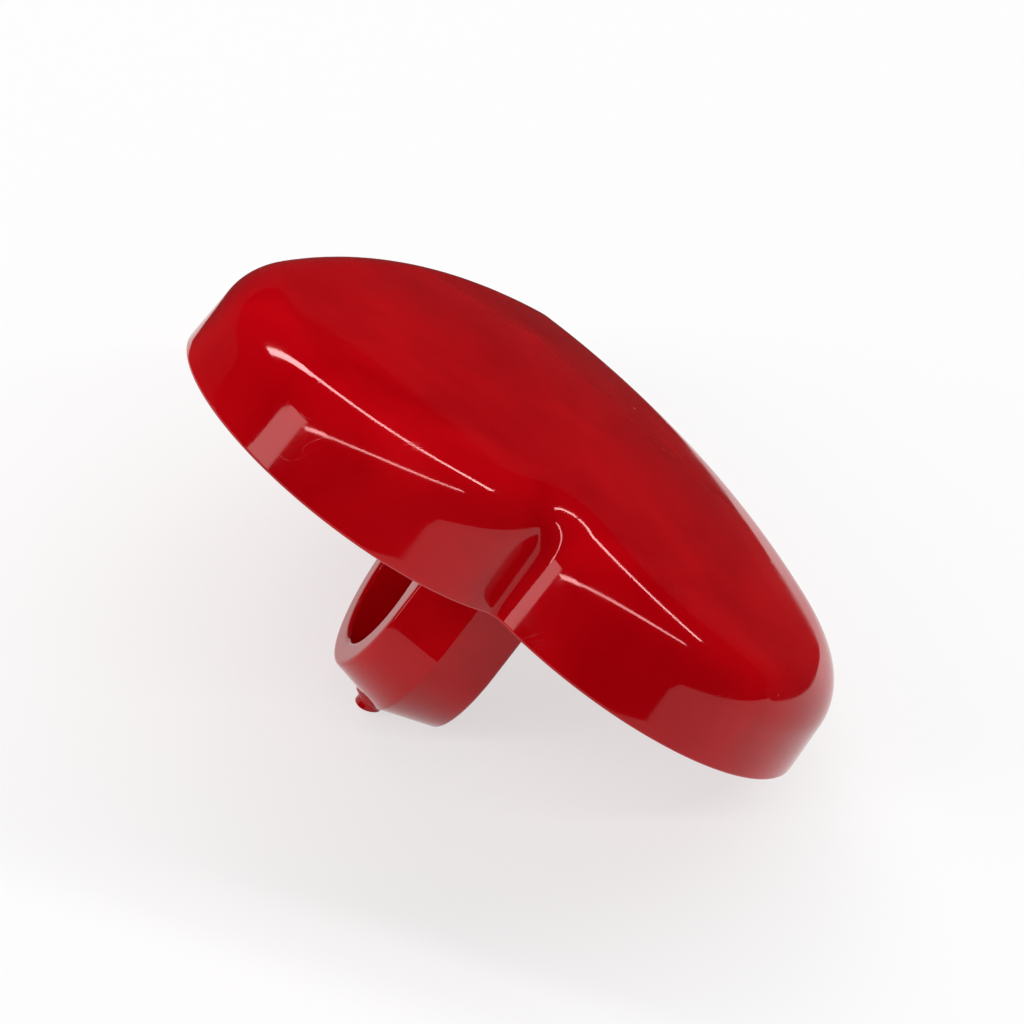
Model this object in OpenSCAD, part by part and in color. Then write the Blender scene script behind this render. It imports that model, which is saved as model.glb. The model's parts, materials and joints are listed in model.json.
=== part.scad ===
// Heart-shaped shank button, moulded in one piece from glossy red plastic.
// Millimetres, Z up. The button lies as it comes to rest: on one straight side of the heart and the
// end of its shank. Its own frame, before that lean, has the flat back on Z = 0, the shank below it on
// the Z axis, the two lobes towards -Y and the tip towards +Y.

/* [Heart outline] */
// Width across the two lobes
heart_w = 15; // [11:0.5:21]
// Height from the lobe ends to the tip
heart_h = 14; // [11.5:0.1:20]
// Depth of the notch between the lobes
notch_d = 1.05; // [0.6:0.05:1.8]
// Radius of the round at the bottom of the notch
notch_r = 0.3; // [0.1:0.05:0.8]
// Radius of the rounded tip
tip_r = 1.25; // [0.6:0.05:2.5]
// Radius of the slightly bowed sides
side_r = 29; // [18:1:120]

/* [Head] */
// Height of the head at its crown
head_h = 2.95; // [2.3:0.05:4.5]
// Lean of the side wall for release from the mould, in degrees
wall_draft = 3; // [0:0.5:6]
// Radius of the round shoulder between wall and dome
shoulder_r = 1.15; // [0.4:0.05:1.6]
// Height at which the spherical dome meets the outline's farthest point from the crown
edge_h = 2; // [1.5:0.05:2.7]
// Distance from the lobe ends to the crown of the dome
crown_setback = 6.2; // [5:0.1:8]

/* [Shank] */
// Distance from the lobe ends to the middle of the shank
shank_setback = 4.9; // [4:0.1:7]
// Length of the shank below the back, at its parting ridge
shank_l = 4.05; // [3.6:0.05:6]
// Width of the loop over both limbs, at its parting ridge
loop_w = 4.9; // [4.2:0.1:6]
// Thickness of the loop along the thread hole
loop_t = 2.4; // [1.6:0.05:3.5]
// Slope of the loop's outer faces away from the parting ridge, in degrees
loop_draft = 15; // [4:1:22]
// Diameter of the thread hole
hole_d = 3.1; // [1.6:0.05:3.5]
// Bridge of material between thread hole and back
hole_top_gap = 0.1; // [0.05:0.05:0.4]
// Depth to which the shank runs on inside the head
shank_root = 0.8; // [0.4:0.1:1.2]

/* [Gate mark] */
// Diameter of the gate mark on the end of the shank
gate_d = 0.55; // [0.3:0.05:0.9]
// Height of the gate mark above the ridge
gate_h = 0.25; // [0.1:0.05:0.4]

/* [Smoothness] */
// Steps along each half of the notch
notch_steps = 4; // [2:1:8]
// Steps along each lobe
lobe_steps = 34; // [12:2:40]
// Steps along each side; the button rests on the flat of one of them
side_steps = 7; // [3:1:15]
// Steps along each half of the tip
tip_steps = 6; // [3:1:10]
// Steps over the shoulder
shoulder_steps = 8; // [3:1:10]
// Steps from shoulder to crown
dome_steps = 8; // [4:1:12]
// Segments of the round faces
round_fn = 96; // [48:8:144]

/* [Hidden] */

// Red of the moulded plastic
plastic_red = [0.7, 0.01, 0.03];
// Overrun of cutting bodies past the faces they cut
overrun = loop_t;

// Notch, lobe, side and tip arcs of the right half, each tangent to the next: lobes of this radius
// leave a rounded notch of the given depth
lobe_r = heart_w / 2 + notch_d - sqrt(notch_d * (heart_w + 2 * notch_r));
lobe_c = [heart_w / 2 - lobe_r, lobe_r - shank_setback];
notch_c = [0, notch_d - notch_r - shank_setback];
notch_end = atan2(lobe_c.y - notch_c.y, lobe_c.x - notch_c.x);
tip_c = [0, heart_h - shank_setback - tip_r];
centre_gap = norm(tip_c - lobe_c);
to_tip = (tip_c - lobe_c) / centre_gap;
outward = [to_tip.y, -to_tip.x];
side_from_lobe = side_r - lobe_r;
side_from_tip = side_r - tip_r;
side_along = (side_from_lobe ^ 2 - side_from_tip ^ 2 + centre_gap ^ 2) / (2 * centre_gap);
side_in = sqrt(side_from_lobe ^ 2 - side_along ^ 2);
side_c = lobe_c + to_tip * side_along - outward * side_in;
lobe_end = atan2(lobe_c.y - side_c.y, lobe_c.x - side_c.x);
side_end = atan2(tip_c.y - side_c.y, tip_c.x - side_c.x);

// Points of an arc with their outward normals, the first one left out; a hollow arc faces its centre
function arc(c, r, from, to, steps, facing = 1) = [
    for (i = [1:steps])
        let (t = from + (to - from) * i / steps, d = [cos(t), sin(t)])
        [c + r * d, facing * d]
];

// Right half of the outline from the notch to the tip, then the whole, counter-clockwise from the notch
half_outline = concat(
    [[notch_c + [0, notch_r], [0, -1]]],
    arc(notch_c, notch_r, 90, notch_end, notch_steps, -1),
    arc(lobe_c, lobe_r, notch_end - 180, lobe_end, lobe_steps),
    arc(side_c, side_r, lobe_end, side_end, side_steps),
    arc(tip_c, tip_r, side_end, 90, tip_steps)
);
half_n = len(half_outline);
function mirrored(v) = [-v.x, v.y];
outline = concat(half_outline, [
    for (i = [half_n - 2:-1:1])
        let (o = half_outline[i])
        [mirrored(o[0]), mirrored(o[1])]
]);
ring_n = len(outline);

// Dome: a sphere over the crown that falls to the edge height at the outline's farthest point
crown = [0, crown_setback - shank_setback];
reach = max([for (o = outline) norm(o[0] - crown)]);
drop = head_h - edge_h;
dome_r = (reach ^ 2 + drop ^ 2) / (2 * drop);
dome_c = [crown.x, crown.y, head_h - dome_r];

// Shoulder: the skin of a ball that rolls round inside wall and dome, its radius limited by the tip
wall_lean = tan(wall_draft);
ball_limit = (tip_r - (head_h - shoulder_r) * wall_lean) * cos(wall_draft);
ball_r = min(shoulder_r, ball_limit);
wall_gap = ball_r / cos(wall_draft);

// Centre of the ball beside point p of the outline with normal n: it touches the wall and the dome
function ball_centre(p, n) =
    let (
        a = p - crown - wall_gap * n,
        b = dome_c.z + wall_lean * (a * n),
        c = dome_c.z ^ 2 + a * a - (dome_r - ball_r) ^ 2,
        k = 1 + wall_lean ^ 2,
        h = (b + sqrt(b ^ 2 - k * c)) / k,
        q = p - (wall_gap + h * wall_lean) * n
    )
    [q.x, q.y, h];

// Ring of the shoulder at share t of the way from the wall's normal to the dome's
function shoulder_ring(t) = [
    for (o = outline)
        let (
            ball = ball_centre(o[0], o[1]),
            wall_n = [o[1].x * cos(wall_draft), o[1].y * cos(wall_draft), sin(wall_draft)],
            dome_n = (ball - dome_c) / (dome_r - ball_r),
            spread = acos(wall_n * dome_n)
        )
        ball + ball_r * (sin((1 - t) * spread) * wall_n + sin(t * spread) * dome_n) / sin(spread)
];

// Ring of the dome: the shoulder's last ring shrunk by s towards the crown and lifted onto the sphere
dome_edge = shoulder_ring(1);
function dome_ring(s) = [
    for (p = dome_edge)
        let (q = s * [p.x - crown.x, p.y - crown.y])
        [crown.x + q.x, crown.y + q.y, dome_c.z + sqrt(dome_r ^ 2 - q * q)]
];

rings = concat(
    [[for (o = outline) [o[0].x, o[0].y, 0]]],
    [for (i = [0:shoulder_steps]) shoulder_ring(i / shoulder_steps)],
    [for (i = [1:dome_steps - 1]) dome_ring(1 - i / dome_steps)]
);
ring_count = len(rings);
head_points = concat(
    [for (r = rings) each r],
    [[crown.x, crown.y, 0], [crown.x, crown.y, head_h]]
);
back_centre = ring_count * ring_n;
crown_centre = back_centre + 1;
function at(ring, i) = ring * ring_n + i % ring_n;
head_faces = concat(
    [for (i = [0:ring_n - 1]) [back_centre, at(0, i), at(0, i + 1)]],
    [for (k = [0:ring_count - 2], i = [0:ring_n - 1]) [at(k, i), at(k + 1, i), at(k + 1, i + 1)]],
    [for (k = [0:ring_count - 2], i = [0:ring_n - 1]) [at(k, i), at(k + 1, i + 1), at(k, i + 1)]],
    [for (i = [0:ring_n - 1]) [crown_centre, at(ring_count - 1, i + 1), at(ring_count - 1, i)]]
);

// Shank: the ridge lies in the middle plane, the outer faces fall away from it to the flat sides
ridge_r = loop_w / 2;
side_face_r = ridge_r - loop_t / 2 * tan(loop_draft);
bend_z = ridge_r - shank_l;
hole_z = -hole_top_gap - hole_d / 2;

// Rest: a step of the right side and the shank's lowest point lie on one level floor; the step is the
// one at this share of the way from lobe to tip, where the button balances
rest_share = 0.6;
rest_step = floor(side_steps * rest_share);
lean_dir = lobe_end + (side_end - lobe_end) * (rest_step + 1 / 2) / side_steps;
lean = [cos(lean_dir), sin(lean_dir)];
side_reach = max([for (o = outline) o[0] * lean]);
// Depth below the back's centre of a round of radius r at x, its centre at z, when leaned by a
function round_depth(a, x, r, z) =
    x * lean.x * sin(a) - z * cos(a) + r * sqrt((lean.y * sin(a)) ^ 2 + cos(a) ^ 2);
function shank_depth(a) = max(
    round_depth(a, loop_t / 2, side_face_r, bend_z),
    round_depth(a, 0, ridge_r, bend_z),
    (shank_l + gate_h) * cos(a) + gate_d / 2 * sin(a)
);
function lean_between(low, high, left) =
    let (mid = (low + high) / 2)
    left == 0 ? mid
    : side_reach * sin(mid) < shank_depth(mid) ? lean_between(mid, high, left - 1)
    : lean_between(low, mid, left - 1);
lean_halvings = 40;
lean_angle = lean_between(0, 90, lean_halvings);

// A point of the head after the lean, and the shift that puts the box's bottom centre on the origin
function leaned(p) =
    let (x = p.x * lean.x + p.y * lean.y, y = p.y * lean.x - p.x * lean.y)
    [x * cos(lean_angle) + p.z * sin(lean_angle), y, p.z * cos(lean_angle) - x * sin(lean_angle)];
leaned_points = [for (p = head_points) leaned(p)];
leaned_x = [for (p = leaned_points) p.x];
leaned_y = [for (p = leaned_points) p.y];
home = [
    -(min(leaned_x) + max(leaned_x)) / 2,
    -(min(leaned_y) + max(leaned_y)) / 2,
    side_reach * sin(lean_angle)
];

// Puffed heart with a flat back
module head() {
    polyhedron(points = head_points, faces = head_faces, convexity = 4);
}

// Section of the loop across its limbs: widest at the ridge
module loop_section() {
    polygon([
        [-loop_t / 2, -side_face_r],
        [0, -ridge_r],
        [loop_t / 2, -side_face_r],
        [loop_t / 2, side_face_r],
        [0, ridge_r],
        [-loop_t / 2, side_face_r]
    ]);
}

// Half of the same section, turned half a circle for the round end of the loop
module loop_bend() {
    rotate([0, 90, 0])
        rotate([0, 0, -90])
            rotate_extrude(angle = 180, $fn = round_fn)
                polygon([
                    [0, -loop_t / 2],
                    [side_face_r, -loop_t / 2],
                    [ridge_r, 0],
                    [side_face_r, loop_t / 2],
                    [0, loop_t / 2]
                ]);
}

// Solid shank with its gate mark, before the thread hole is cut
module shank_body() {
    translate([0, 0, bend_z])
        linear_extrude(height = shank_root - bend_z)
            loop_section();
    translate([0, 0, bend_z])
        loop_bend();
    translate([0, 0, -shank_l - gate_h])
        cylinder(h = gate_h + gate_d, d = gate_d, $fn = round_fn);
}

// Thread hole through the loop, from side face to side face
module thread_hole() {
    translate([0, 0, hole_z])
        rotate([0, 90, 0])
            cylinder(h = loop_t + 2 * overrun, d = hole_d, center = true, $fn = round_fn);
}

// One moulded piece, leaned to its rest
module button() {
    color(plastic_red)
        translate(home)
            rotate([0, lean_angle, 0])
                rotate([0, 0, -lean_dir])
                    union() {
                        head();
                        difference() {
                            shank_body();
                            thread_hole();
                        }
                    }
}

button();
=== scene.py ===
"""Looks of a heart-shaped shank button, moulded in one piece from glossy red plastic."""

import json
import math

import bpy
import numpy as np
from mathutils import Matrix, Vector


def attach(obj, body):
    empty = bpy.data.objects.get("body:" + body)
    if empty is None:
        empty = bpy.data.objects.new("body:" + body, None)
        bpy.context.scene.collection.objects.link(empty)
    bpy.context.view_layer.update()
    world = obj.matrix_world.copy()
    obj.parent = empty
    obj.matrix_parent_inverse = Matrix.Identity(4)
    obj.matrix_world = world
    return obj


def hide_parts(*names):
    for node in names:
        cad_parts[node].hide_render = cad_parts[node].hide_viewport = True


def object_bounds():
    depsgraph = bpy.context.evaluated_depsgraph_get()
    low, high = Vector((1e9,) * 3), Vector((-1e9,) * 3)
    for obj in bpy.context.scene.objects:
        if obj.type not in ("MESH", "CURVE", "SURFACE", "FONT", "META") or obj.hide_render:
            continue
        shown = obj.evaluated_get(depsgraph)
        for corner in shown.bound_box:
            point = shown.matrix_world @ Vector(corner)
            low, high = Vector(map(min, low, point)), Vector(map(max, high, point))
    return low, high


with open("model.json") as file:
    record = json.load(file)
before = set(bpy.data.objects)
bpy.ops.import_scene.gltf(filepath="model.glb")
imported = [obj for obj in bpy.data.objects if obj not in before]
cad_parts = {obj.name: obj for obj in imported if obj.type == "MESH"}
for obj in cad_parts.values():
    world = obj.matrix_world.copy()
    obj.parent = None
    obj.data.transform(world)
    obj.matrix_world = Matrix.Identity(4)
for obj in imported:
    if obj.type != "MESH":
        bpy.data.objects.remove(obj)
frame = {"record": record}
cad_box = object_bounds()
thread_hole = frame["record"]["mounts"][0]

MM = 0.001

# Heart outline, as in the solid
HEART_W = 15.0 * MM
HEART_H = 14.0 * MM
NOTCH_D = 1.05 * MM
NOTCH_R = 0.3 * MM
TIP_R = 1.25 * MM
SIDE_R = 29.0 * MM
# The smooth skin lies this far inside the corners of the faceted solid
SKIN_INSET = 0.012 * MM

# Head: drafted wall, round shoulder and spherical dome over a flat back
HEAD_H = 2.95 * MM
EDGE_H = 2.0 * MM
WALL_DRAFT = math.radians(3.0)
SHOULDER_R = 1.15 * MM
CROWN_SETBACK = 6.2 * MM
BACK_EDGE_R = 0.07 * MM
# Faces within about a degree of the back's direction belong to the back
FLAT_COSINE = 0.9999

# Shank: a drafted loop with a parting ridge round the thread hole
SHANK_SETBACK = 4.9 * MM
SHANK_L = 4.05 * MM
LOOP_W = 4.9 * MM
LOOP_T = 2.4 * MM
LOOP_DRAFT = math.radians(15.0)
HOLE_D = 3.1 * MM
HOLE_TOP_GAP = 0.1 * MM
HOLE_Z = -HOLE_TOP_GAP - HOLE_D / 2
SHANK_ROOT = 0.3 * MM
ROOT_FILLET_R = 0.25 * MM
HOLE_EDGE_R = 0.1 * MM
LOOP_EDGE_R = 0.1 * MM
RIDGE_EDGE_R = 0.05 * MM
# The root's fillet fades in over this share of the way out from the hole
FILLET_FADE_SHARE = 0.25

# Gate mark: the snapped-off stub on the end of the shank
GATE_D = 0.55 * MM
GATE_H = 0.25 * MM
GATE_SINK = GATE_D
GATE_EDGE_R = 0.015 * MM
GATE_ROOT_R = 0.12 * MM
GATE_SNAP_RISE = 0.12 * MM
# The rise of the snapped end: its level, tilted and saddle-shaped shares, and the saddle's turn
SNAP_LEVEL_SHARE = 0.5
SNAP_TILT_SHARE = 0.3
SNAP_SADDLE_SHARE = 0.2
SNAP_SADDLE_TURN = 1.0
# Radius of the end's innermost ring as a share of the gate's
GATE_CORE_SHARE = 1 / 3

# Steps along each stretch of the surfaces
NOTCH_STEPS = 16
LOBE_STEPS = 72
SIDE_STEPS = 24
TIP_STEPS = 20
BACK_EDGE_STEPS = 5
WALL_STEPS = 6
SHOULDER_STEPS = 18
DOME_STEPS = 48
LOOP_TURN_STEPS = 360
BORE_STEPS = 5
CHEEK_STEPS = 8
SLOPE_STEPS = 7
RIDGE_STEPS = 3
ROUND_STEPS = 4
GATE_TURN_STEPS = 48
GATE_END_RINGS = 4
# Keeps a ray that never meets a line from dividing by zero
NEARLY_ZERO = 1e-6

# Plastic: colour, gloss, and the sizes of the patterns in them
RED_STOPS = ((0.3, "#AE000B"), (0.7, "#C60611"))
ACRYLIC_IOR = 1.49
CLOUD_W = 2.6 * MM
SMEAR_W = 1.2 * MM
CLEAN_ROUGHNESS = 0.04
SMEARED_ROUGHNESS = 0.1
WAVE_W = 2.2 * MM
WAVE_H = 0.006 * MM
MARK_DEPTH = 0.003 * MM
# Dents: their spacing, their floor and rim as shares of it, and the share of places with none
DENT_SPACING = 0.5 * MM
DENT_FLOOR_SHARE = 0.02
DENT_RIM_SHARE = 0.07
DENT_FREE_SHARE = 0.62
# Scratches: grain of their noise along and across, size of their patches, and two ways that they run
SCRATCH_STRETCH = 40.0 * MM
SCRATCH_SPACING = 0.6 * MM
SCRATCH_PATCH_W = 1.8 * MM
SCRATCH_TURNS = ((0.4, 0.2, 0.9), (0.1, 0.7, 2.2))
# A scratch is where its noise is this close to the middle of its range
NOISE_MIDDLE = 0.5
SCRATCH_BAND = 0.012
# What a scratch adds to the roughness, and its depth as a share of a dent's
SCRATCH_DULLING = 0.12
SCRATCH_DEPTH_SHARE = 0.15

# Camera: the photograph's view of the button, with the button filling the frame
VIEW_AZIMUTH = math.radians(-45.9)
VIEW_ELEVATION = math.radians(43.4)
VIEW_ROLL = math.radians(14.2)
VIEW_DISTANCE = 280.0 * MM
VIEW_CLIP = 10.0 * MM
IMAGE_PX = 1024
BUTTON_PX_PER_MM = 50.0
SENSOR_MM = 36.0

# Table top, and the share of plain white in it as it is seen
FLOOR_HALF_W = 900.0 * MM
FLOOR_LIFT = 0.65

# Dark card behind the button, seen only in the gloss: a painted dark reflection on the dome
CARD_SETBACK = 10.5 * MM
CARD_HALF_W = 80.0 * MM
CARD_H = 9.0 * MM

# Lamps, in metres: two rows of tubes overhead, each with the place where its pair ends, and a window
TUBE_Z = 0.40
ROW_BEHIND = ((-0.08, 0.52, TUBE_Z), (0.13, 0.26, TUBE_Z), (0.52, -0.22, TUBE_Z))
ROW_IN_FRONT = ((-0.85, 0.12, TUBE_Z), (-0.47, -0.04, TUBE_Z), (0.24, -0.35, TUBE_Z))
WINDOW = ((-0.62, 0.20, 0.12), (-0.62, 0.20, 0.46))
ROOM_LIGHT = 0.14


def srgb(code):
    """Linear RGBA of an sRGB hex colour: each channel through the sRGB curve."""
    channels = np.array([int(code[i:i + 2], 16) for i in (1, 3, 5)]) / 255.0
    linear = np.where(channels <= 0.04045, channels / 12.92, ((channels + 0.055) / 1.055) ** 2.4)
    return (*linear.tolist(), 1.0)


def bearing(vector):
    """Angle of a flat vector, counter-clockwise from the x axis."""
    return math.atan2(vector[1], vector[0])


def arc(centre, radius, start, end, steps):
    """Points of a circular arc, its first point left out, and their directions from the centre."""
    angle = start + (end - start) * np.arange(1, steps + 1) / steps
    direction = np.stack([np.cos(angle), np.sin(angle)], axis=1)
    return np.asarray(centre) + radius * direction, direction


def heart_outline():
    """Outline of the flat back and its outward normals, counter-clockwise from the notch.

    Four tangent arcs make the right half: a hollow one in the notch, then lobe, bowed side and tip.
    The lobe radius follows from width, notch depth and notch radius. The left half is the mirror
    image. Moving each point along its normal gives a true offset of the outline.
    """
    lobe_r = HEART_W / 2 + NOTCH_D - math.sqrt(NOTCH_D * (HEART_W + 2 * NOTCH_R))
    lobe_c = np.array([HEART_W / 2 - lobe_r, lobe_r - SHANK_SETBACK])
    notch_c = np.array([0.0, NOTCH_D - NOTCH_R - SHANK_SETBACK])
    tip_c = np.array([0.0, HEART_H - SHANK_SETBACK - TIP_R])
    gap = np.linalg.norm(tip_c - lobe_c)
    to_tip = (tip_c - lobe_c) / gap
    outward = np.array([to_tip[1], -to_tip[0]])
    along = ((SIDE_R - lobe_r) ** 2 - (SIDE_R - TIP_R) ** 2 + gap ** 2) / (2 * gap)
    side_c = lobe_c + to_tip * along - outward * math.sqrt((SIDE_R - lobe_r) ** 2 - along ** 2)
    notch_end = bearing(lobe_c - notch_c)
    lobe_end = bearing(lobe_c - side_c)
    side_end = bearing(tip_c - side_c)
    hollow, hollow_out = arc(notch_c, NOTCH_R, math.pi / 2, notch_end, NOTCH_STEPS)
    lobe, lobe_out = arc(lobe_c, lobe_r, notch_end - math.pi, lobe_end, LOBE_STEPS)
    side, side_out = arc(side_c, SIDE_R, lobe_end, side_end, SIDE_STEPS)
    tip, tip_out = arc(tip_c, TIP_R, side_end, math.pi / 2, TIP_STEPS)
    half = np.vstack([notch_c + [0.0, NOTCH_R], hollow, lobe, side, tip])
    out = np.vstack([[0.0, -1.0], -hollow_out, lobe_out, side_out, tip_out])
    mirror = np.array([-1.0, 1.0])
    whole = np.vstack([half, half[-2:0:-1] * mirror])
    whole_out = np.vstack([out, out[-2:0:-1] * mirror])
    return whole - SKIN_INSET * whole_out, whole_out


def dome_sphere(outline):
    """Centre and radius of the dome: a sphere through the crown, which falls to the edge height at
    the outline's farthest point from it. Its radius is (reach^2 + drop^2) / (2 drop)."""
    crown = np.array([0.0, CROWN_SETBACK - SHANK_SETBACK])
    reach = np.linalg.norm(outline - crown, axis=1).max()
    drop = HEAD_H - EDGE_H
    radius = (reach ** 2 + drop ** 2) / (2 * drop)
    return np.array([*crown, HEAD_H - SKIN_INSET - radius]), radius


def shoulder_ball(outline, out, dome_c, dome_r):
    """Centres of a ball that rolls round inside wall and dome, touching both.

    The wall leans in by its draft from the outline, and the dome is a sphere. The centre's height h
    solves the quadratic that puts it at dome_r - SHOULDER_R from the dome's centre, while it is
    SHOULDER_R / cos(draft) + h tan(draft) inside the outline.
    """
    lean = math.tan(WALL_DRAFT)
    wall_gap = SHOULDER_R / math.cos(WALL_DRAFT)
    from_crown = outline - dome_c[:2] - wall_gap * out
    middle = dome_c[2] + lean * (from_crown * out).sum(1)
    rest = dome_c[2] ** 2 + (from_crown ** 2).sum(1) - (dome_r - SHOULDER_R) ** 2
    height = (middle + np.sqrt(middle ** 2 - (1 + lean ** 2) * rest)) / (1 + lean ** 2)
    inset = wall_gap + height * lean
    return np.column_stack([outline - inset[:, None] * out, height])


def head_surface():
    """Rings of the puffed heart, from the back's centre round the edge and over the dome to the crown.

    A small arc rounds the back edge, a straight line leans up the wall, and the shoulder is the skin
    of a ball rolled round inside wall and dome, from the wall's normal to the dome's. The dome shrinks
    the shoulder's last ring to the crown and lifts it onto the sphere.
    """
    outline, out = heart_outline()
    dome_c, dome_r = dome_sphere(outline)
    crown = dome_c[:2]
    ball = shoulder_ball(outline, out, dome_c, dome_r)
    on_wall = np.column_stack([out * math.cos(WALL_DRAFT), np.full(len(out), math.sin(WALL_DRAFT))])
    on_dome = (ball - dome_c) / (dome_r - SHOULDER_R)
    spread = np.arccos((on_wall * on_dome).sum(1))[:, None]
    step = np.linspace(0, 1, SHOULDER_STEPS + 1)[:, None, None]
    turned = np.sin((1 - step) * spread) * on_wall + np.sin(step * spread) * on_dome
    shoulder = ball + SHOULDER_R * turned / np.sin(spread)

    # The first ring lies on the flat back, just inside the edge's arc
    edge_in = BACK_EDGE_R * (1 / math.cos(WALL_DRAFT) + math.tan(WALL_DRAFT))
    turn = np.linspace(-math.pi / 2, WALL_DRAFT, BACK_EDGE_STEPS + 1)
    inset = np.concatenate([[edge_in + BACK_EDGE_R], edge_in - BACK_EDGE_R * np.cos(turn)])
    rise = np.concatenate([[0.0], BACK_EDGE_R * (1 + np.sin(turn))])
    flat = outline - inset[:, None, None] * out
    edge = np.dstack([flat, np.broadcast_to(rise[:, None], flat.shape[:2])])
    step = np.linspace(0, 1, WALL_STEPS + 1)[1:-1, None, None]
    wall = edge[-1] + step * (shoulder[0] - edge[-1])

    shrink = np.linspace(1, 0, DOME_STEPS + 1)[1:-1, None, None]
    from_crown = shrink * (shoulder[-1, :, :2] - crown)
    lift = dome_c[2] + np.sqrt(dome_r ** 2 - (from_crown ** 2).sum(-1))
    dome = np.dstack([crown + from_crown, lift])
    rings = np.concatenate([edge, wall, shoulder, dome])
    return np.array([*crown, 0.0]), rings, np.array([*crown, dome_c[2] + dome_r])


def loop_reach(turn, half_width):
    """Distance from the thread hole's axis to the loop's outside, in the direction of turn.

    The outside is a U of the given half width: a half circle below the bend, straight limbs above it
    and a level cut inside the head. Each ray takes the stretch that it meets.
    """
    across, upward = np.cos(turn), np.sin(turn)
    bend_z = LOOP_W / 2 - SHANK_L
    drop = HOLE_Z - bend_z
    to_bend = -drop * upward + np.sqrt(half_width ** 2 - (drop * across) ** 2)
    to_limb = half_width / np.maximum(np.abs(across), NEARLY_ZERO)
    to_cut = (SHANK_ROOT - HOLE_Z) / np.maximum(upward, NEARLY_ZERO)
    in_bend = HOLE_Z + to_bend * upward < bend_z
    return np.where(in_bend, to_bend, np.minimum(to_limb, to_cut))


def loop_section():
    """Half of the loop's section from the middle of the hole wall round to the ridge, in four rows:
    x, radius at the hole, half width of the U, and share of the way from hole to U. Small arcs round
    the hole's rim, the outer corner and the ridge."""
    half_t = LOOP_T / 2
    hole_r = HOLE_D / 2
    bend = np.linspace(0, math.pi / 2, ROUND_STEPS + 1)
    rim = np.stack([half_t - HOLE_EDGE_R * (1 - np.sin(bend)),
                    hole_r + HOLE_EDGE_R * (1 - np.cos(bend))])
    fall = (LOOP_EDGE_R + (half_t - LOOP_EDGE_R) * math.sin(LOOP_DRAFT)) / math.cos(LOOP_DRAFT)
    bend = np.linspace(0, math.pi / 2 - LOOP_DRAFT, ROUND_STEPS + 1)
    corner = np.stack([half_t - LOOP_EDGE_R * (1 - np.cos(bend)),
                       LOOP_W / 2 - fall + LOOP_EDGE_R * np.sin(bend)])
    bend = np.linspace(math.pi / 2 - LOOP_DRAFT, math.pi / 2, RIDGE_STEPS + 1)
    ridge = np.stack([RIDGE_EDGE_R * np.cos(bend),
                      LOOP_W / 2 - RIDGE_EDGE_R / math.cos(LOOP_DRAFT) + RIDGE_EDGE_R * np.sin(bend)])
    step = np.linspace(0, 1, SLOPE_STEPS + 1)[1:-1]
    slope = corner[:, -1:] + (ridge[:, :1] - corner[:, -1:]) * step
    bore = np.stack([np.linspace(0, rim[0, 0], BORE_STEPS + 1)[:-1], np.full(BORE_STEPS, hole_r)])
    inner = np.hstack([bore, rim])
    outer = np.hstack([corner, slope, ridge])
    cheek = np.linspace(0, 1, CHEEK_STEPS + 1)[1:-1]
    x = np.concatenate([inner[0], np.full(len(cheek), half_t), outer[0]])
    radius = np.concatenate([inner[1], np.full(len(cheek) + outer.shape[1], inner[1, -1])])
    width = np.concatenate([np.full(inner.shape[1] + len(cheek), corner[1, 0]), outer[1]])
    share = np.concatenate([np.zeros(inner.shape[1]), cheek, np.ones(outer.shape[1])])
    return x, radius, width, share


def shank_surface():
    """The loop as a closed ring round the thread hole: turn runs round the hole, and the other
    parameter runs round the section and its mirror image. Near the back the skin flares out in a
    fillet, a quarter circle of the root radius."""
    x, radius, width, share = loop_section()
    mirrored = slice(-2, 0, -1)
    x = np.concatenate([x, -x[mirrored]])
    radius, width, share = (np.concatenate([row, row[mirrored]]) for row in (radius, width, share))
    turn = np.linspace(0, 2 * math.pi, LOOP_TURN_STEPS, endpoint=False)[:, None]
    reach = (1 - share) * radius + share * loop_reach(turn, width)
    y = reach * np.cos(turn)
    z = reach * np.sin(turn) + HOLE_Z
    x = np.broadcast_to(x, z.shape)
    rise = np.clip(z / ROOT_FILLET_R + 1, 0, 1)
    fade = np.clip(share / FILLET_FADE_SHARE, 0, 1)
    flare = ROOT_FILLET_R * (1 - np.sqrt(1 - rise ** 2)) * fade
    on_side = np.abs(x) > LOOP_T / 2 - LOOP_EDGE_R / 2
    x = x + np.where(on_side, np.sign(x) * flare, 0)
    y = y + np.where(share == 1, np.sign(y) * flare, 0)
    return np.dstack([x, y, z])


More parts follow.
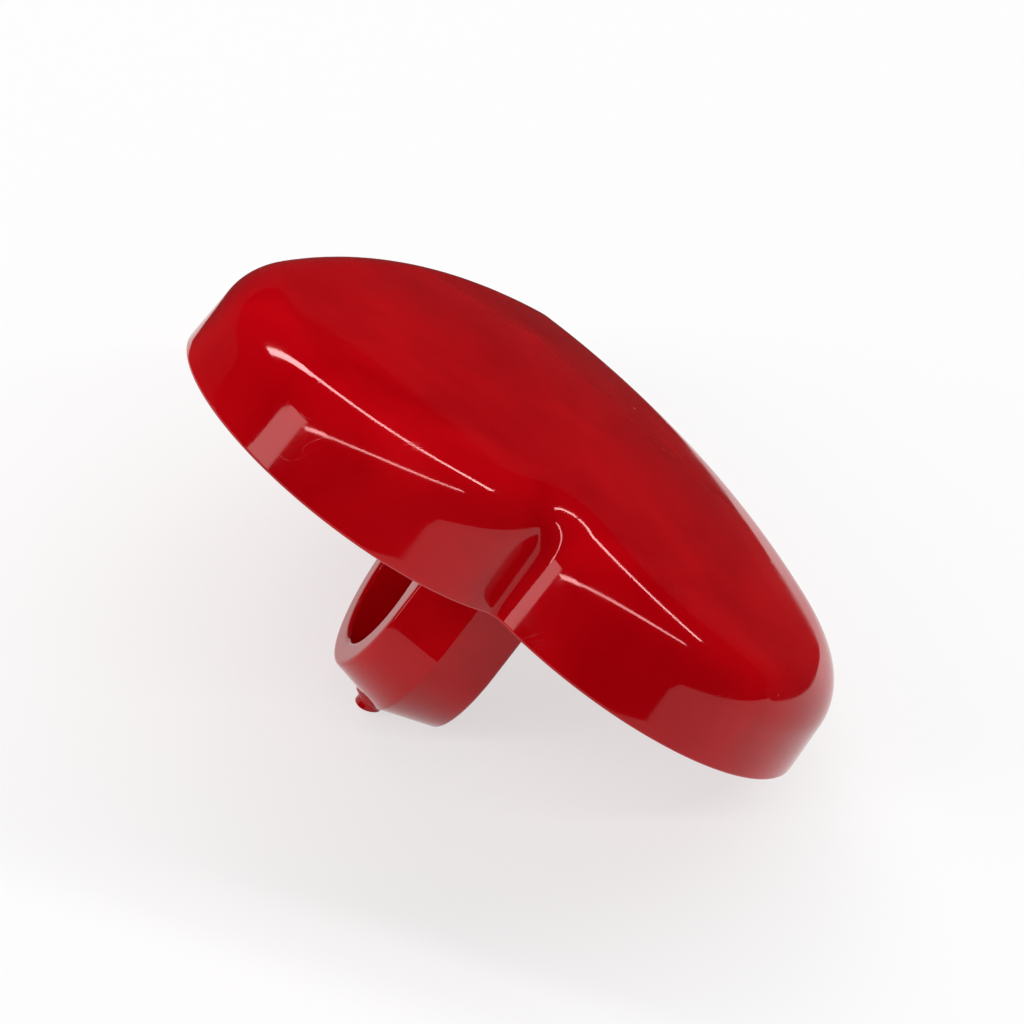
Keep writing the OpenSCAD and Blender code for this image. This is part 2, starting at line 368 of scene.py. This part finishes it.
def gate_surface():
    """Rings of the gate's stub, from its end into the shank: a short round turned about the shank's
    axis, with a quarter-round hollow at its root, its end uneven where it snapped off. The end rises
    and falls with the cosine of the turn and of twice the turn, in full at its rim and not at all in
    its middle."""
    gate_r = GATE_D / 2
    bend = np.linspace(0, math.pi / 2, ROUND_STEPS + 1)
    root = GATE_ROOT_R * np.stack([1 - np.sin(bend), 1 - np.cos(bend)])
    edge = GATE_EDGE_R * np.stack([np.cos(bend) - 1, np.sin(bend) - 1])
    end = np.linspace(gate_r - 2 * GATE_EDGE_R, gate_r * GATE_CORE_SHARE, GATE_END_RINGS)
    radius = np.concatenate([[gate_r + GATE_ROOT_R], gate_r + root[0], gate_r + edge[0], end])[:, None]
    depth = np.concatenate([[-GATE_SINK], root[1], GATE_H + edge[1], np.full(len(end), GATE_H)])[:, None]
    turn = np.linspace(0, 2 * math.pi, GATE_TURN_STEPS, endpoint=False)
    tilt = SNAP_TILT_SHARE * np.cos(turn)
    saddle = SNAP_SADDLE_SHARE * np.cos(2 * turn + SNAP_SADDLE_TURN)
    uneven = GATE_SNAP_RISE * (SNAP_LEVEL_SHARE + tilt + saddle)
    z = -SHANK_L - depth + uneven * (depth > GATE_ROOT_R) * radius / gate_r
    rings = np.dstack([radius * np.cos(turn), radius * np.sin(turn), z])
    end_pole = np.array([0.0, 0.0, -SHANK_L - GATE_H])
    sunk_pole = np.array([0.0, 0.0, -SHANK_L + GATE_SINK])
    return end_pole, rings[::-1], sunk_pole


def ring_faces(rows, columns, closed_rows):
    """Quads between the rows of a grid whose columns close up; its rows close up too if asked."""
    row = np.arange(rows if closed_rows else rows - 1)[:, None]
    column = np.arange(columns)[None, :]
    after, beside = (row + 1) % rows, (column + 1) % columns
    corners = [row * columns + column, row * columns + beside,
               after * columns + beside, after * columns + column]
    return np.stack(np.broadcast_arrays(*corners), axis=-1).reshape(-1, 4)


def capped(first_pole, grid, last_pole):
    """Points and faces of a grid of rings with a pole at either end."""
    rows, columns = grid.shape[:2]
    points = np.vstack([grid.reshape(-1, 3), first_pole, last_pole])
    pole = rows * columns
    ring = np.arange(columns)
    beside = (ring + 1) % columns
    last = (rows - 1) * columns
    start = np.stack([np.full(columns, pole), beside, ring], axis=1)
    end = np.stack([np.full(columns, pole + 1), last + ring, last + beside], axis=1)
    return points, ring_faces(rows, columns, False).tolist() + start.tolist() + end.tolist()


def button_axes():
    """Directions of the button's own x, y and z in the frame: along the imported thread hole, towards the
    heart's tip, and the way the dome faces, which has no part along the frame's Y."""
    along = np.array(thread_hole["axis"]) / np.linalg.norm(thread_hole["axis"])
    facing = np.cross(along, [0.0, 1.0, 0.0])
    facing /= np.linalg.norm(facing)
    return np.stack([along, np.cross(facing, along), facing])


def place_in_frame(points):
    """Points of the button's own frame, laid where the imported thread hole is: its centre is known in
    both."""
    return np.array(thread_hole["pos_m"]) + (points - [0.0, 0.0, HOLE_Z]) @ button_axes()


def add_mesh(name, points, faces):
    """A smooth object at the origin, with its place in its mesh."""
    mesh = bpy.data.meshes.new(name)
    mesh.from_pydata(points, [], faces)
    mesh.shade_smooth()
    made = bpy.data.objects.new(name, mesh)
    bpy.context.scene.collection.objects.link(made)
    return made


def button_piece():
    """The head with shank and gate mark joined to it: one closed skin, and nothing left inside it."""
    head_points, head_faces = capped(*head_surface())
    gate_points, gate_faces = capped(*gate_surface())
    loop = shank_surface()
    loop_faces = ring_faces(*loop.shape[:2], True).tolist()
    piece = add_mesh("moulded_button", place_in_frame(head_points), head_faces)
    shank = add_mesh("shank", place_in_frame(loop.reshape(-1, 3)), loop_faces)
    gate = add_mesh("gate", place_in_frame(gate_points), gate_faces)
    for part in (shank, gate):
        join = piece.modifiers.new(part.name, "BOOLEAN")
        join.operation = "UNION"
        join.solver = "EXACT"
        join.object = part
    whole = piece.evaluated_get(bpy.context.evaluated_depsgraph_get())
    joined = bpy.data.meshes.new_from_object(whole)
    # The back stays flat right up to the rounds that meet it
    facing = np.empty(3 * len(joined.polygons), dtype=np.float32)
    joined.polygons.foreach_get("normal", facing)
    towards_back = facing.reshape(-1, 3) @ -button_axes()[2]
    joined.polygons.foreach_set("use_smooth", towards_back < FLAT_COSINE)
    piece.modifiers.clear()
    piece.data = joined
    for part in (shank, gate):
        bpy.data.objects.remove(part)
    return piece


def empty_material(name):
    """A material with no nodes yet."""
    material = bpy.data.materials.new(name)
    material.use_nodes = True
    material.node_tree.nodes.clear()
    return material


def node(tree, kind, inputs, **settings):
    """Adds a node with its settings. An input is a value, an output to link to it, or a node, whose
    first output is then linked."""
    made = tree.nodes.new(kind)
    for name, value in settings.items():
        setattr(made, name, value)
    for name, value in inputs.items():
        source = value.outputs[0] if isinstance(value, bpy.types.Node) else value
        if isinstance(source, bpy.types.NodeSocket):
            tree.links.new(source, made.inputs[name])
        else:
            made.inputs[name].default_value = source
    return made


def hairlines(tree, place, turned):
    """Fine scratches: the thin lines on which a noise stretched along one direction crosses its
    middle, kept only in patches. They are 0.015 mm wide, coarser than real ones so that they show,
    some 2 mm long and 0.5 mm apart."""
    grain = (1 / SCRATCH_STRETCH, 1 / SCRATCH_SPACING, 1 / SCRATCH_SPACING)
    stretched = node(tree, "ShaderNodeMapping", {"Vector": place, "Rotation": turned, "Scale": grain})
    streaks = node(tree, "ShaderNodeTexNoise", {"Vector": stretched, "Scale": 1.0, "Detail": 0.0})
    off_middle = node(tree, "ShaderNodeMath", {0: streaks, 1: NOISE_MIDDLE}, operation="SUBTRACT")
    distance = node(tree, "ShaderNodeMath", {0: off_middle}, operation="ABSOLUTE")
    line = node(tree, "ShaderNodeMapRange", {
        "Value": distance, "From Min": 0.0, "From Max": SCRATCH_BAND, "To Min": 1.0, "To Max": 0.0})
    spots = node(tree, "ShaderNodeTexNoise", {
        "Vector": place, "Scale": 1 / SCRATCH_PATCH_W, "Detail": 0.0})
    patch = node(tree, "ShaderNodeMapRange", {
        "Value": spots, "From Min": 0.56, "From Max": 0.66, "To Min": 0.0, "To Max": 1.0})
    return node(tree, "ShaderNodeMath", {0: line, 1: patch}, operation="MULTIPLY")


def moulded_red_acrylic():
    """Opaque red acrylic from a polished mould: deep red under a clear hard gloss."""
    material = empty_material("moulded_red_acrylic")
    tree = material.node_tree
    place = node(tree, "ShaderNodeTexCoord", {}).outputs["Object"]

    # Pigment not quite evenly mixed in: broad, faint clouds keep the red from looking painted on
    clouds = node(tree, "ShaderNodeTexNoise", {
        "Vector": place, "Scale": 1 / CLOUD_W, "Detail": 2.0, "Distortion": 0.6})
    red = node(tree, "ShaderNodeValToRGB", {"Fac": clouds})
    for stop, (position, colour) in zip(red.color_ramp.elements, RED_STOPS):
        stop.position = position
        stop.color = srgb(colour)

    # Handling: smears that dull the gloss a little, and hairline scratches that catch the lamps
    film = node(tree, "ShaderNodeTexNoise", {
        "Vector": place, "Scale": 1 / SMEAR_W, "Detail": 4.0, "Distortion": 0.4})
    smears = node(tree, "ShaderNodeMapRange", {
        "Value": film, "From Min": 0.35, "From Max": 0.7,
        "To Min": CLEAN_ROUGHNESS, "To Max": SMEARED_ROUGHNESS})
    one_way, other_way = (hairlines(tree, place, turned) for turned in SCRATCH_TURNS)
    scratches = node(tree, "ShaderNodeMath", {0: one_way, 1: other_way}, operation="MAXIMUM")
    roughness = node(tree, "ShaderNodeMath", {0: scratches, 1: SCRATCH_DULLING, 2: smears},
                     operation="MULTIPLY_ADD")

    # Moulded skin: slow waves bend the reflected lines, and pin-head dents and scratches break them
    swell = node(tree, "ShaderNodeTexNoise", {"Vector": place, "Scale": 1 / WAVE_W, "Detail": 1.0})
    waves = node(tree, "ShaderNodeBump", {"Height": swell, "Distance": WAVE_H})
    cells = node(tree, "ShaderNodeTexVoronoi", {"Vector": place, "Scale": 1 / DENT_SPACING})
    few = node(tree, "ShaderNodeMath", {0: cells.outputs["Color"], 1: DENT_FREE_SHARE},
               operation="GREATER_THAN")
    pits = node(tree, "ShaderNodeMapRange", {
        "Value": cells.outputs["Distance"], "From Min": DENT_FLOOR_SHARE, "From Max": DENT_RIM_SHARE,
        "To Min": 1.0, "To Max": 0.0})
    dents = node(tree, "ShaderNodeMath", {0: pits, 1: few}, operation="MULTIPLY")
    marks = node(tree, "ShaderNodeMath", {0: scratches, 1: SCRATCH_DEPTH_SHARE, 2: dents},
                 operation="MULTIPLY_ADD")
    skin = node(tree, "ShaderNodeBump", {"Height": marks, "Distance": MARK_DEPTH, "Normal": waves},
                invert=True)

    # The skin is a little see-through, so pigment just under it tints the gloss pink
    gloss = node(tree, "ShaderNodeBsdfPrincipled", {
        "Base Color": red, "Roughness": roughness, "Normal": skin,
        "IOR": ACRYLIC_IOR, "Specular Tint": srgb("#FFC4C4")})
    node(tree, "ShaderNodeOutputMaterial", {"Surface": gloss})
    return material


def matt_white_laminate():
    """White laminate with a matt face: pale and even, with a shadow but no mirror image."""
    material = empty_material("matt_white_laminate")
    tree = material.node_tree
    face = node(tree, "ShaderNodeBsdfPrincipled", {"Base Color": srgb("#F8F8F8"), "Roughness": 0.6})
    # To the eye, and in gloss and glass, the floor is part plain white, which lightens the shadow
    white = node(tree, "ShaderNodeEmission", {"Color": srgb("#FFFFFF"), "Strength": 1.0})
    ray = node(tree, "ShaderNodeLightPath", {}).outputs
    seen = node(tree, "ShaderNodeMath", {0: ray["Is Camera Ray"], 1: ray["Is Glossy Ray"]},
                operation="MAXIMUM")
    seen = node(tree, "ShaderNodeMath", {0: seen, 1: ray["Is Transmission Ray"]}, operation="MAXIMUM")
    lift = node(tree, "ShaderNodeMath", {0: seen, 1: FLOOR_LIFT}, operation="MULTIPLY")
    lifted = node(tree, "ShaderNodeMixShader", {0: lift, 1: face, 2: white})
    node(tree, "ShaderNodeOutputMaterial", {"Surface": lifted})
    return material


def painted_dark_reflection_card():
    """A matt dark red card with no gloss of its own, seen only in the button's gloss: its colour is a
    painted dark reflection on the dome.
    """
    material = empty_material("painted_dark_reflection_card")
    tree = material.node_tree
    # Painted dark reflection: this dark red shows only in the dome's gloss
    face = node(tree, "ShaderNodeBsdfPrincipled", {"Base Color": srgb("#5A2E2E"), "Roughness": 0.9})
    node(tree, "ShaderNodeOutputMaterial", {"Surface": face})
    return material


def floor_piece():
    """A wide pale table top under the button."""
    half = FLOOR_HALF_W
    corners = [(-half, -half, 0), (half, -half, 0), (half, half, 0), (-half, half, 0)]
    floor = add_mesh("table_top", corners, [(0, 1, 2, 3)])
    floor.data.materials.append(matt_white_laminate())
    return floor


def card_piece():
    """A low dark red card that stands close behind the button, unseen by the camera. It shows only in the
    gloss, as a painted dark reflection that keeps the glare of the white floor off the dome."""
    back = Vector((-math.sin(VIEW_AZIMUTH), math.cos(VIEW_AZIMUTH), 0))
    side = Vector((back.y, -back.x, 0))
    foot, reach, height = back * CARD_SETBACK, side * CARD_HALF_W, Vector((0, 0, CARD_H))
    corners = [foot - reach, foot + reach, foot + reach + height, foot - reach + height]
    card = add_mesh("dark_card", corners, [(0, 1, 2, 3)])
    card.data.materials.append(painted_dark_reflection_card())
    card.visible_camera = card.visible_diffuse = card.visible_shadow = False
    return card


def lamp(name, start, end, width, brightness):
    """A flat lamp that faces the button, from the middle of one short side to the middle of the other.
    Its power is pi times its area times its brightness."""
    start, end = Vector(start), Vector(end)
    middle = (start + end) / 2
    along = (end - start).normalized()
    away = (middle - along * middle.dot(along)).normalized()
    light = bpy.data.lights.new(name, "AREA")
    light.shape = "RECTANGLE"
    light.size, light.size_y = (end - start).length, width
    light.energy = math.pi * light.size * light.size_y * brightness
    made = bpy.data.objects.new(name, light)
    turned = Matrix((along, away.cross(along), away)).transposed().to_4x4()
    made.matrix_world = Matrix.Translation(middle) @ turned
    bpy.context.scene.collection.objects.link(made)


def room_light():
    """The even light of the room, which fills in without showing in the gloss."""
    world = bpy.data.worlds.new("studio")
    world.use_nodes = True
    background = world.node_tree.nodes["Background"]
    background.inputs["Color"].default_value = srgb("#FFFFFF")
    background.inputs["Strength"].default_value = ROOM_LIGHT
    bpy.context.scene.world = world
    world.cycles_visibility.glossy = False


def camera_piece():
    """Camera on the photograph's line of sight, rolled as the button leans in the picture."""
    side = Vector((math.cos(VIEW_AZIMUTH), math.sin(VIEW_AZIMUTH), 0))
    back = Vector((math.sin(VIEW_AZIMUTH) * math.cos(VIEW_ELEVATION),
                   -math.cos(VIEW_AZIMUTH) * math.cos(VIEW_ELEVATION), math.sin(VIEW_ELEVATION)))
    up = back.cross(side)
    right = side * math.cos(VIEW_ROLL) + up * math.sin(VIEW_ROLL)
    up = back.cross(right)
    middle = Vector((0, 0, (cad_box[0][2] + cad_box[1][2]) / 2))
    data = bpy.data.cameras.new("view")
    data.sensor_width = SENSOR_MM
    data.lens = SENSOR_MM * BUTTON_PX_PER_MM * (VIEW_DISTANCE / MM) / IMAGE_PX
    data.clip_start = VIEW_CLIP
    camera = bpy.data.objects.new("view", data)
    turned = Matrix((right, up, back)).transposed().to_4x4()
    camera.matrix_world = Matrix.Translation(middle + back * VIEW_DISTANCE) @ turned
    bpy.context.scene.collection.objects.link(camera)
    bpy.context.scene.camera = camera


button = button_piece()
button.data.materials.append(moulded_red_acrylic())
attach(button, "root")
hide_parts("button")
floor_piece()
card_piece()
camera_piece()

# The tubes draw the bright lines on the shoulders, thick where a row begins with a pair and thin beyond
lamp("pair_behind", ROW_BEHIND[0], ROW_BEHIND[1], width=0.06, brightness=18.0)
lamp("tube_behind", ROW_BEHIND[1], ROW_BEHIND[2], width=0.038, brightness=16.0)
lamp("pair_in_front", ROW_IN_FRONT[0], ROW_IN_FRONT[1], width=0.05, brightness=16.0)
lamp("tube_in_front", ROW_IN_FRONT[1], ROW_IN_FRONT[2], width=0.024, brightness=13.0)
# A window at the left gives the soft patches on the lobes
lamp("window", *WINDOW, width=0.18, brightness=4.0)
room_light()
bpy.context.scene.view_settings.view_transform = "Standard"
